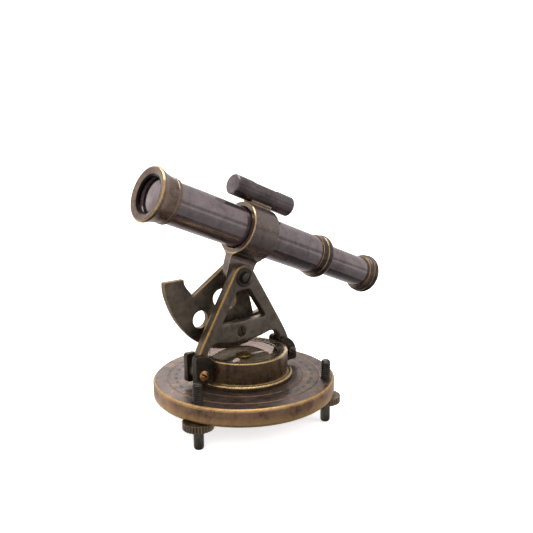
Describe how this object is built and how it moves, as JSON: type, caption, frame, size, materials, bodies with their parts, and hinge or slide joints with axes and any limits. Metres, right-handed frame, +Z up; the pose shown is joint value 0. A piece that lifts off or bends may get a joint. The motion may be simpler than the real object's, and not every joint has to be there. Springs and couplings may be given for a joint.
{
  "type": "theodolite alidade",
  "caption": "Small bronze alidade theodolite: tilting telescope with level and quadrant on an A-shaped standard over a compass drum, on a round base with levelling screws.",
  "frame": {"origin": "centre of the bounding box in plan, in the plane of the levelling-screw tips; the vertical axis of the instrument is the line x = -21.6 mm, y = -1.1 mm", "axes": "+Z up; +X towards the eyepiece end, -X towards the objective; +Y towards the quadrant plate, behind the A-shaped standard"},
  "size_m": [0.1506, 0.0925, 0.1286],
  "materials": {
    "base_bronze": "dark antique patina, worn bright along the edges",
    "drum_bronze": "dark antique patina, turned, worn bright on the rim",
    "frame_bronze": "dark olive patina, worn bright along the edges",
    "tube_bronze": "smoky gunmetal patina, semi-gloss",
    "fitting_bronze": "dark antique patina, worn bright on the beads",
    "screw_bronze": "blackened",
    "bright_brass": "worn bright",
    "needle_steel": "polished",
    "dial_card": "matt printed dial",
    "clear_glass": "clear",
    "lens_glass": "coated lens",
    "vial_glass": "spirit vial",
    "black_paint": "matt black inside the tubes"
  },
  "bodies": {
    "base": {"base_plate": "base_bronze"},
    "alidade": {"compass_drum": "drum_bronze", "centre_stud": "screw_bronze", "centre_washer": "screw_bronze", "centre_nut": "screw_bronze", "dial_plate": "dial_card", "spacer_ring": "black_paint", "compass_glass": "clear_glass", "glass_ring": "fitting_bronze", "needle_pivot": "needle_steel", "bracket_left": "frame_bronze", "bracket_right": "frame_bronze", "bracket_screw_left": "screw_bronze", "bracket_screw_right": "screw_bronze", "clevis_screw_left": "bright_brass", "clevis_screw_right": "bright_brass", "a_frame": "frame_bronze", "crossbar_screw": "screw_bronze", "guide_block": "frame_bronze"},
    "needle": {"compass_needle": "needle_steel", "needle_cap": "bright_brass"},
    "telescope": {"pivot_screw": "screw_bronze", "pivot_washer": "screw_bronze", "rear_washer": "screw_bronze", "pivot_nut": "screw_bronze", "telescope_collar": "frame_bronze", "quadrant_plate": "frame_bronze", "quadrant_rivets": "screw_bronze", "main_tube": "tube_bronze", "objective_bell": "fitting_bronze", "objective_lens": "lens_glass", "lens_retainer": "black_paint", "tube_end_ring": "fitting_bronze", "level_tube": "tube_bronze", "level_cap_front": "tube_bronze", "level_cap_rear": "tube_bronze", "level_vial": "vial_glass", "level_saddle": "frame_bronze"},
    "eyepiece": {"draw_tube": "tube_bronze", "draw_guide": "black_paint", "diaphragm": "black_paint", "eyepiece_cap": "fitting_bronze", "eye_lens": "lens_glass"},
    "screw_1": {"levelling_screw_1": "screw_bronze"},
    "wheel_1": {"thumb_wheel_1": "fitting_bronze"},
    "screw_2": {"levelling_screw_2": "screw_bronze"},
    "wheel_2": {"thumb_wheel_2": "fitting_bronze"},
    "screw_3": {"levelling_screw_3": "screw_bronze"},
    "wheel_3": {"thumb_wheel_3": "fitting_bronze"}
  },
  "joints": [
    {"name": "alidade_rotation", "type": "hinge", "parent": "base", "child": "alidade", "pos_m": [-0.0216, -0.0011, 0.0227], "axis": [0, 0, 1], "continuous": true},
    {"name": "needle_spin", "type": "hinge", "parent": "alidade", "child": "needle", "pos_m": [-0.0216, -0.0011, 0.0328], "axis": [0, 0, 1], "continuous": true},
    {"name": "telescope_tilt", "type": "hinge", "parent": "alidade", "child": "telescope", "pos_m": [-0.0216, -0.0011, 0.0727], "axis": [0, 1, 0], "range_deg": [-58, 26]},
    {"name": "focus_slide", "type": "slide", "parent": "telescope", "child": "eyepiece", "axis": [0.9278, 0, -0.373], "range_m": [-0.03, 0.015]},
    {"name": "levelling_1_travel", "type": "slide", "parent": "base", "child": "screw_1", "axis": [0, 0, -1], "range_m": [0, 0.008]},
    {"name": "levelling_1_turn", "type": "hinge", "parent": "screw_1", "child": "wheel_1", "pos_m": [-0.0598, -0.01599, 0.0125], "axis": [0, 0, -1], "range_deg": [0, 2720]},
    {"name": "levelling_2_travel", "type": "slide", "parent": "base", "child": "screw_2", "axis": [0, 0, -1], "range_m": [0, 0.008]},
    {"name": "levelling_2_turn", "type": "hinge", "parent": "screw_2", "child": "wheel_2", "pos_m": [0.00578, -0.03162, 0.0125], "axis": [0, 0, -1], "range_deg": [0, 2720]},
    {"name": "levelling_3_travel", "type": "slide", "parent": "base", "child": "screw_3", "axis": [0, 0, -1], "range_m": [0, 0.008]},
    {"name": "levelling_3_turn", "type": "hinge", "parent": "screw_3", "child": "wheel_3", "pos_m": [-0.0121, 0.03878, 0.0125], "axis": [0, 0, -1], "range_deg": [0, 2720]}
  ],
  "couplings": [
    {"joint": "levelling_1_turn", "follows": "levelling_1_travel", "rad_per_m": 5927.5},
    {"joint": "levelling_2_turn", "follows": "levelling_2_travel", "rad_per_m": 5927.5},
    {"joint": "levelling_3_turn", "follows": "levelling_3_travel", "rad_per_m": 5927.5}
  ]
}
